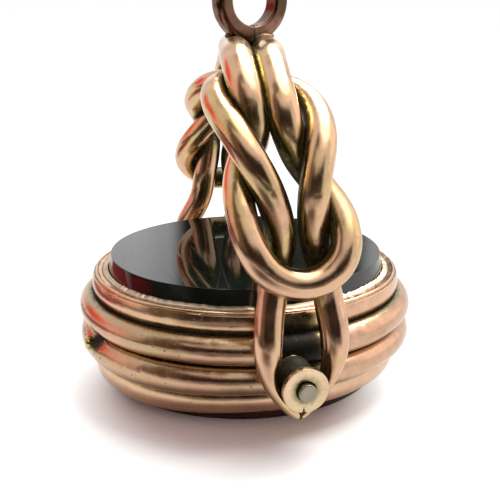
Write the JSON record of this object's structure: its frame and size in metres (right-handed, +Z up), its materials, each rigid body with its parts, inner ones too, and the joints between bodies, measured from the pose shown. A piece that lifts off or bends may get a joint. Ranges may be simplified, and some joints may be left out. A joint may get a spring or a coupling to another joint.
{
  "type": "swivel pocket watch fob",
  "caption": "Watch fob with an oval reeded case holding a flat stone on each face, which spins in a yoke of knotted round wire under a chain ring.",
  "frame": {"origin": "middle of the lower stone's face, which the fob lies on", "axes": "+X along the swivel's pivot axis towards the front arm, +Y along the oval's long side, +Z up towards the chain ring"},
  "size_m": [0.033, 0.0278, 0.0335],
  "materials": {
    "rose_gold": "worn polish",
    "yellow_gold": "worn polish",
    "solder": "tarnished",
    "steel": "filed",
    "dark_stone": "polished",
    "red_stone": "polished",
    "cement": "matte"
  },
  "bodies": {
    "spinner": {"case_band": "rose_gold", "packing": "cement", "side_rivet": "yellow_gold", "upper_ridge_wire": "rose_gold", "lower_ridge_wire": "rose_gold", "upper_rim": "rose_gold", "lower_rim": "rose_gold", "upper_bezel": "yellow_gold", "lower_bezel": "yellow_gold", "upper_bearer": "rose_gold", "lower_bearer": "rose_gold", "upper_stone": "dark_stone", "lower_stone": "red_stone", "front_pivot_pin": "steel", "rear_pivot_pin": "steel", "front_pin_collar": "yellow_gold", "rear_pin_collar": "yellow_gold"},
    "yoke": {"yoke_wire": "rose_gold", "chain_ring": "rose_gold", "ring_solder": "solder", "front_knot_wire": "rose_gold", "rear_knot_wire": "rose_gold", "front_bush": "yellow_gold", "rear_bush": "yellow_gold", "front_bush_washer": "rose_gold", "rear_bush_washer": "rose_gold", "front_eye_solder": "solder", "rear_eye_solder": "solder"}
  },
  "joints": [
    {"name": "swivel", "type": "hinge", "parent": "spinner", "child": "yoke", "pos_m": [0, 0, 0.00527], "axis": [1, 0, 0], "continuous": true}
  ]
}
